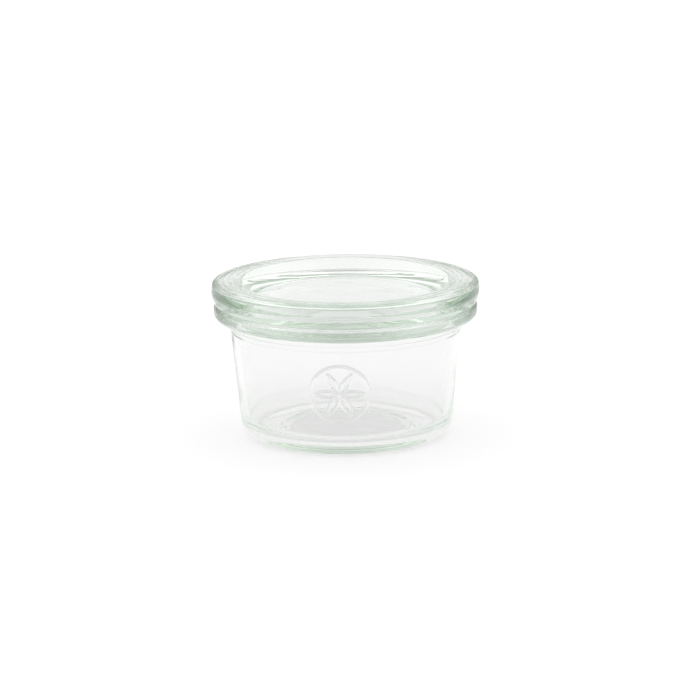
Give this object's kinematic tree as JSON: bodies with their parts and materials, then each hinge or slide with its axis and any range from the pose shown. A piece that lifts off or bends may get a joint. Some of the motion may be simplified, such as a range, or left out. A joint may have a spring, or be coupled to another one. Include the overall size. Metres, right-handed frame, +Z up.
{
  "type": "glass preserving jar",
  "caption": "Small round preserving jar of clear greenish glass, tapered wall and flanged rim, with a loose recessed glass lid lying on it.",
  "frame": {"origin": "centre of the ring that the jar stands on, at the surface it rests on", "axes": "+Z up along the jar's axis, -Y towards the side with the raised medallion"},
  "size_m": [0.0702, 0.0702, 0.0412],
  "materials": {
    "jar_glass": "clear moulded glass with a faint green tint",
    "lid_glass": "clear pressed glass with a faint green tint"
  },
  "bodies": {
    "root": {"jar": "jar_glass", "lid": "lid_glass"}
  },
  "joints": []
}
